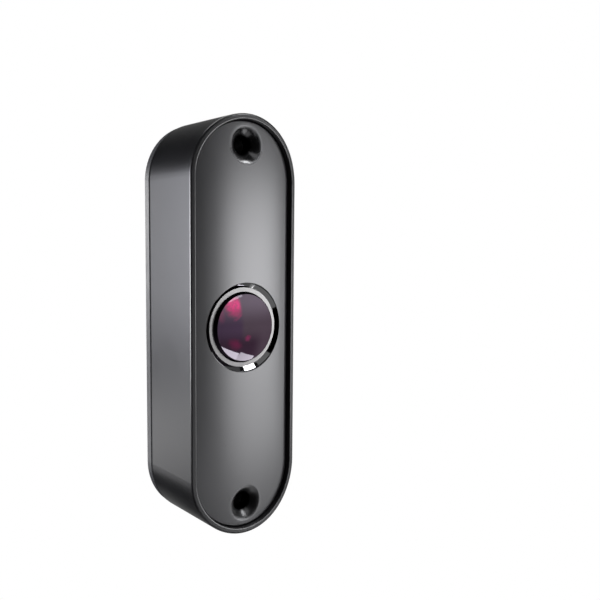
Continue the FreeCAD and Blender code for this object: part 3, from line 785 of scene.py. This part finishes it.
def joint_shape(tree, given):
    """One soldered joint along +Z: a round foot that narrows in a hollow curve to its pin."""
    inputs = {"Vertices": given["Sides"], "Side Segments": 6, "Radius": 1.0, "Depth": 1.0}
    drum = put(tree, "GeometryNodeMeshCylinder", inputs).outputs["Mesh"]
    where = parts_of(tree, put(tree, "GeometryNodeInputPosition").outputs[0])
    climbed = calc(tree, "ADD", where["Z"], 0.5)
    left = calc(tree, "POWER", calc(tree, "SUBTRACT", 1.0, climbed, clamp=True), 2.0)
    spread = calc(tree, "MULTIPLY", calc(tree, "SUBTRACT", given["Foot radius"], given["Pin radius"]), left)
    reach = calc(tree, "ADD", given["Pin radius"], spread)
    inputs = {
        "X": calc(tree, "MULTIPLY", where["X"], reach),
        "Y": calc(tree, "MULTIPLY", where["Y"], reach),
        "Z": calc(tree, "MULTIPLY", climbed, given["Height"]),
    }
    moved = put(tree, "ShaderNodeCombineXYZ", inputs).outputs[0]
    return put(tree, "GeometryNodeSetPosition", {"Geometry": drum, "Position": moved}).outputs[0]


def solder_tree():
    """Tree that sets a joint on each pin of the solder rows, on the board's front."""
    tree = bpy.data.node_groups.new("Solder joints", "GeometryNodeTree")
    for label in ("Foot radius", "Pin radius", "Height"):
        tree.interface.new_socket(label, in_out="INPUT", socket_type="NodeSocketFloat")
    tree.interface.new_socket("Sides", in_out="INPUT", socket_type="NodeSocketInt")
    tree.interface.new_socket("Material", in_out="INPUT", socket_type="NodeSocketMaterial")
    tree.interface.new_socket("Geometry", in_out="OUTPUT", socket_type="NodeSocketGeometry")
    given = tree.nodes.new("NodeGroupInput").outputs
    result = tree.nodes.new("NodeGroupOutput").inputs
    pins = put(tree, "GeometryNodeJoinGeometry")
    for count, first, pitch, height in SOLDER_ROWS:
        inputs = {"Count": count, "Start Location": (first, BOARD_FRONT, height), "Offset": (pitch, 0, 0)}
        row = put(tree, "GeometryNodeMeshLine", inputs, mode="OFFSET", count_mode="TOTAL").outputs[0]
        tree.links.new(row, pins.inputs[0])
    forward = (math.pi / 2, 0, 0)
    inputs = {"Points": pins.outputs[0], "Instance": joint_shape(tree, given), "Rotation": forward}
    joints = put(tree, "GeometryNodeInstanceOnPoints", inputs).outputs[0]
    whole = put(tree, "GeometryNodeRealizeInstances", {0: joints}).outputs[0]
    inputs = {"Geometry": whole, "Material": given["Material"]}
    tinned = put(tree, "GeometryNodeSetMaterial", inputs).outputs[0]
    tree.links.new(tinned, result["Geometry"])
    return tree


def built_mesh(name, tree, values):
    """Object whose mesh a geometry tree has made, with the modifier gone."""
    sockets = {s.name: s.identifier for s in tree.interface.items_tree if s.in_out == "INPUT"}
    maker = bpy.data.objects.new(name + "_maker", bpy.data.meshes.new(name + "_maker"))
    bpy.context.scene.collection.objects.link(maker)
    modifier = maker.modifiers.new("Tree", "NODES")
    modifier.node_group = tree
    for label, value in values.items():
        modifier[sockets[label]] = value
    mesh = bpy.data.meshes.new_from_object(maker.evaluated_get(bpy.context.evaluated_depsgraph_get()))
    mesh.name = name
    bpy.data.objects.remove(maker)
    piece = bpy.data.objects.new(name, mesh)
    bpy.context.scene.collection.objects.link(piece)
    return piece


class PHOTOCELL_OT_solder(bpy.types.Operator):
    """Set a soldered joint round each pin on the board's front"""

    bl_idname = "photocell.solder"
    bl_label = "Soldered joints"

    def execute(self, context):
        solder = context.scene.photocell_solder
        values = {
            "Foot radius": solder.foot_radius,
            "Pin radius": solder.pin_radius,
            "Height": solder.height,
            "Sides": solder.sides,
            "Material": plated_metal("Solder", (0.74, 0.75, 0.77), rough=0.22),
        }
        joints = built_mesh("solder_joints", solder_tree(), values)
        if not joints.data.polygons:
            raise RuntimeError("The solder tree made no faces")
        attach(joints, "root")
        return {"FINISHED"}


def facing(azimuth, elevation):
    """Unit vector from the body, with the azimuth counted to the right of the lens axis, in degrees."""
    turn = math.radians(azimuth)
    rise = math.radians(elevation)
    flat = math.cos(rise)
    return Vector((math.sin(turn) * flat, -math.cos(turn) * flat, math.sin(rise)))


def soft_lamp(name, direction, size, distance, radiance, roll=0):
    """Soft lamp that looks at the body.

    Its direction is an azimuth and an elevation, and its size a width and a height. These and its roll
    are angles in degrees, as the body sees them.
    """
    wide, high = [2 * distance * math.tan(math.radians(angle / 2)) for angle in size]
    data = bpy.data.lights.new(name, "AREA")
    data.shape = "RECTANGLE"
    data.size = wide
    data.size_y = high
    data.energy = radiance * math.pi * data.size * data.size_y
    lamp = bpy.data.objects.new(name, data)
    lamp.visible_camera = False
    away = facing(*direction)
    lamp.location = AXIS_POINT + away * distance
    tilt = Quaternion((0, 0, 1), math.radians(roll))
    lamp.rotation_euler = (away.to_track_quat("Z", "Y") @ tilt).to_euler()
    bpy.context.scene.collection.objects.link(lamp)
    return lamp


def limit_lamp(lamp, nodes, state):
    """Keeps a lamp to the named nodes with INCLUDE, or off them with EXCLUDE."""
    chosen = bpy.data.collections.new(lamp.name + "_nodes")
    for node in nodes:
        chosen.objects.link(frame["nodes"][node])
    for entry in chosen.collection_objects:
        entry.light_linking.link_state = state
    lamp.light_linking.receiver_collection = chosen


def light_body(stage):
    """Soft lamps round the whole body."""
    far = stage.lamp_distance
    right = soft_lamp("right_lamp", (39.6, 0.6), (28, 16.6), far, stage.right_lamp)
    right_foot = soft_lamp("right_foot_lamp", (40.6, -14), (30, 14.5), far, stage.right_lamp * 0.61)
    upper = soft_lamp("upper_lamp", (37.8, 44), (18, 20), far, stage.upper_lamp)
    fill = soft_lamp("fill_lamp", (16.7, -24), (47, 7.3), far, stage.fill_lamp)
    left = soft_lamp("left_lamp", (-122, 3), (40, 24), far, stage.left_lamp)
    far_side = soft_lamp("far_side_lamp", (122, 3), (40, 24), far, stage.left_lamp * 0.6)
    high_rear = soft_lamp("high_rear_lamp", (165, 64), (40, 24), far, stage.left_lamp * 0.5)
    soft_lamp("rear_lamp", (-150, -18), (50, 8), far, stage.fill_lamp * 1.1)
    soft_lamp("rear_foot_lamp", (-154, -24), (50, 5), far, stage.fill_lamp * 0.5)
    left.data.color = LEFT_LAMP_COLOUR
    limit_lamp(upper, ("lens", "front_plate"), "EXCLUDE")
    for lamp in (right, right_foot, fill):
        limit_lamp(lamp, ("lens", "lens_ring"), "EXCLUDE")
    for lamp in (far_side, high_rear):
        limit_lamp(lamp, ("housing_shell", "rear_base"), "INCLUDE")


def light_edges(stage):
    """Lamps that only the edges and the ends of the housing mirror, or the strip of the base."""
    far = stage.lamp_distance
    near = stage.card_distance
    edge = soft_lamp("edge_lamp", (-108, -1), (36, 18), far, stage.edge_lamp)
    edge.visible_diffuse = False
    cards = (
        edge,
        soft_lamp("back_card", (155, 20), (40, 24), far, stage.fill_lamp * 0.1),
        soft_lamp("low_back_card", (155, -33), (44, 16), far, stage.fill_lamp * 0.25),
        soft_lamp("foot_card", (-30, -80), (50, 40), near, stage.fill_lamp * 0.4),
        soft_lamp("low_side_card", (85, -55), (40, 26), near, stage.fill_lamp * 0.25),
    )
    for card in cards:
        limit_lamp(card, ("housing_shell",), "INCLUDE")
    side = soft_lamp("side_card", (-152, 5), (26, 18), far, stage.fill_lamp * 2.9)
    limit_lamp(side, ("rear_base",), "INCLUDE")


def light_countersinks(stage):
    """Cards that light only the front plate, for its countersinks."""
    near = stage.card_distance
    level = stage.sink_cards
    cards = (
        soft_lamp("sink_right_card", (45, 39), (13, 27), near, level * 9, roll=-33),
        soft_lamp("sink_top_card", (-6, 50), (16, 44), near, level * 0.9, roll=40),
        soft_lamp("sink_low_card", (60, -48), (26, 32), near, level * 1.5, roll=43),
        soft_lamp("sink_foot_card", (8, -62), (26, 36), near, level * 0.6),
    )
    for card in cards:
        limit_lamp(card, ("front_plate",), "INCLUDE")


def light_ring(stage):
    """Soft lamp for the ring's face and dim cards for its dish, which light only the ring."""
    near = stage.card_distance
    level = stage.ring_cards
    cards = (
        soft_lamp("ring_face_lamp", (47, -1), (27, 24), stage.lamp_distance, stage.right_lamp * 1.45),
        soft_lamp("ring_low_card", (2, -52), (56, 36), near, level),
        soft_lamp("ring_high_card", (2, 42), (22, 26), near, level),
        soft_lamp("ring_glint_card", (45, -57), (3, 4), near, level * 10),
        soft_lamp("ring_top_card", (76, -46), (34, 26), near, level * 0.6),
        soft_lamp("ring_foot_card", (76, 33), (30, 26), near, level * 0.45),
    )
    for card in cards:
        limit_lamp(card, ("lens_ring",), "INCLUDE")


def light_lens(stage):
    """Cards that light only the lens: two low ones side by side and a high one."""
    near = stage.card_distance
    level = stage.lens_cards
    cards = (
        soft_lamp("low_left_card", (6.5, -46.5), (31, 24), near, level * 1.1, roll=-19),
        soft_lamp("low_right_card", (47.5, -49.5), (26, 25), near, level * 0.78),
        soft_lamp("high_card", (19, 35), (26, 10), near, level * 0.5, roll=10),
    )
    for card in cards:
        card.data.color = LENS_CARD_COLOUR
        limit_lamp(card, ("lens",), "INCLUDE")


def black_card():
    """Black of the tent."""
    material, tree, shader, place = new_material("Black card")
    set_inputs(tree, shader, {"Base Color": UNLIT, "Roughness": 1.0, "Specular IOR Level": 0.0})
    return material


def tent_point(azimuth, elevation, level):
    """Point of the tent in a direction from the body, kept above the given level."""
    away = facing(azimuth, elevation)
    distance = TENT_REACH
    if away.z < 0:
        distance = min(TENT_REACH, (level - AXIS_POINT.z) / away.z)
    return AXIS_POINT + away * distance


def in_window(azimuth, elevation):
    """Whether a direction lies in the tent's window."""
    left, right, low, high = TENT_WINDOW
    return left <= azimuth <= right and low <= elevation <= high


def dark_tent(level):
    """Black cells round the body that only reflections see, with a window to the white background."""
    points = []
    faces = []
    middle = TENT_STEP / 2
    for azimuth in range(-180, 180, TENT_STEP):
        for elevation in range(-TENT_TOP, TENT_TOP, TENT_STEP):
            if in_window(azimuth + middle, elevation + middle):
                continue
            first = len(points)
            for across, up in ((0, 0), (TENT_STEP, 0), (TENT_STEP, TENT_STEP), (0, TENT_STEP)):
                points.append(tent_point(azimuth + across, elevation + up, level))
            faces.append(tuple(range(first, first + 4)))
    mesh = bpy.data.meshes.new("dark_tent")
    mesh.from_pydata(points, [], faces)
    mesh.materials.append(black_card())
    tent = bpy.data.objects.new("dark_tent", mesh)
    for seen_by in ("visible_camera", "visible_diffuse", "visible_transmission", "visible_shadow"):
        setattr(tent, seen_by, False)
    bpy.context.scene.collection.objects.link(tent)


def seen_directly(tree):
    """1 for rays from the camera, from reflections and through glass, else 0."""
    path = put(tree, "ShaderNodeLightPath").outputs
    mirrored = calc(tree, "MAXIMUM", path["Is Glossy Ray"], path["Is Transmission Ray"])
    return calc(tree, "MAXIMUM", path["Is Camera Ray"], mirrored)


def white_world(ambient):
    """White background, with a dimmer light on matt surfaces."""
    world = bpy.data.worlds.new("Studio")
    world.use_nodes = True
    tree = world.node_tree
    level = blend_values(tree, seen_directly(tree), ambient, 1.0)
    set_inputs(tree, tree.nodes["Background"], {"Color": (1, 1, 1, 1), "Strength": level})
    bpy.context.scene.world = world


def floor_finish():
    """Pale floor that keeps the shadow and fades into the white background."""
    material, tree, shader, place = new_material("Pale floor")
    inputs = {"Base Color": (0.86, 0.86, 0.86, 1), "Roughness": 0.9, "Specular IOR Level": 0.0}
    set_inputs(tree, shader, inputs)
    distance = length_of(tree, vector_calc(tree, "MULTIPLY", place, (1, 1, 0)))
    fade = calc(tree, "MULTIPLY", ramp(tree, distance, *FLOOR_FADE), seen_directly(tree))
    glow = put(tree, "ShaderNodeEmission", {"Color": (1, 1, 1, 1), "Strength": 1.0}).outputs[0]
    mixed = put(tree, "ShaderNodeMixShader", {0: fade, 1: shader.outputs[0], 2: glow}).outputs[0]
    tree.links.new(mixed, tree.nodes["Material Output"].inputs["Surface"])
    return material


def pale_floor(level):
    """Round floor below the body."""
    turns = [2 * math.pi * i / FLOOR_SIDES for i in range(FLOOR_SIDES)]
    points = [(FLOOR_RADIUS * math.cos(t), FLOOR_RADIUS * math.sin(t), level) for t in turns]
    mesh = bpy.data.meshes.new("floor")
    mesh.from_pydata(points, [], [tuple(range(FLOOR_SIDES))])
    mesh.materials.append(floor_finish())
    floor = bpy.data.objects.new("floor", mesh)
    bpy.context.scene.collection.objects.link(floor)


def photo_camera():
    """Camera at the photograph's viewpoint."""
    data = bpy.data.cameras.new("camera")
    data.lens = CAMERA_LENS
    data.sensor_width = SENSOR
    data.clip_start = 0.01
    data.clip_end = 20.0
    camera = bpy.data.objects.new("camera", data)
    turn = Matrix.Rotation(-CAMERA_YAW, 4, "Z")
    tilt = Matrix.Rotation(math.pi / 2 - CAMERA_PITCH, 4, "X")
    roll = Matrix.Rotation(CAMERA_ROLL, 4, "Z")
    camera.matrix_world = Matrix.Translation(CAMERA_PLACE) @ turn @ tilt @ roll
    bpy.context.scene.collection.objects.link(camera)
    bpy.context.scene.camera = camera


class PHOTOCELL_OT_stage(bpy.types.Operator):
    """Set the floor, the lamps, the background and the camera"""

    bl_idname = "photocell.stage"
    bl_label = "Studio"

    def execute(self, context):
        stage = context.scene.photocell_stage
        floor_level = CAD_LOW.z - stage.floor_drop
        white_world(stage.ambient)
        pale_floor(floor_level)
        light_body(stage)
        light_lens(stage)
        light_edges(stage)
        light_countersinks(stage)
        light_ring(stage)
        dark_tent(floor_level + TENT_GAP)
        photo_camera()
        context.scene.view_settings.view_transform = "Standard"
        return {"FINISHED"}


class PHOTOCELL_PT_panel(bpy.types.Panel):
    """Lists the steps and the settings of the gate photocell"""

    bl_label = "Gate photocell"
    bl_space_type = "VIEW_3D"
    bl_region_type = "UI"
    bl_category = "Photocell"

    def draw(self, context):
        """Draws a button for each step and a box for each group of settings."""
        for step in STEPS:
            self.layout.operator(step.bl_idname)
        for label in SETTINGS:
            box = self.layout.box()
            group = getattr(context.scene, label)
            for name in group.__annotations__:
                box.prop(group, name)


STEPS = (
    PHOTOCELL_OT_effects,
    PHOTOCELL_OT_body,
    PHOTOCELL_OT_front,
    PHOTOCELL_OT_lens,
    PHOTOCELL_OT_electronics,
    PHOTOCELL_OT_solder,
    PHOTOCELL_OT_stage,
)
SETTINGS = {
    "photocell_finish": FinishSettings,
    "photocell_lens": LensSettings,
    "photocell_solder": SolderSettings,
    "photocell_stage": StageSettings,
}
CLASSES = (*SETTINGS.values(), *STEPS, PHOTOCELL_PT_panel)


def register():
    """Makes the classes known to Blender and gives the scene its settings."""
    for kind in CLASSES:
        bpy.utils.register_class(kind)
    for label, kind in SETTINGS.items():
        setattr(bpy.types.Scene, label, PointerProperty(type=kind))


def unregister():
    """Takes the settings and the classes away again."""
    for label in SETTINGS:
        delattr(bpy.types.Scene, label)
    for kind in reversed(CLASSES):
        bpy.utils.unregister_class(kind)


def main():
    """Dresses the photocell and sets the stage."""
    register()
    bpy.ops.photocell.effects()
    bpy.ops.photocell.body()
    bpy.ops.photocell.front()
    bpy.ops.photocell.lens()
    bpy.ops.photocell.electronics()
    bpy.ops.photocell.solder()
    bpy.ops.photocell.stage()


if __name__ == "__main__":
    main()
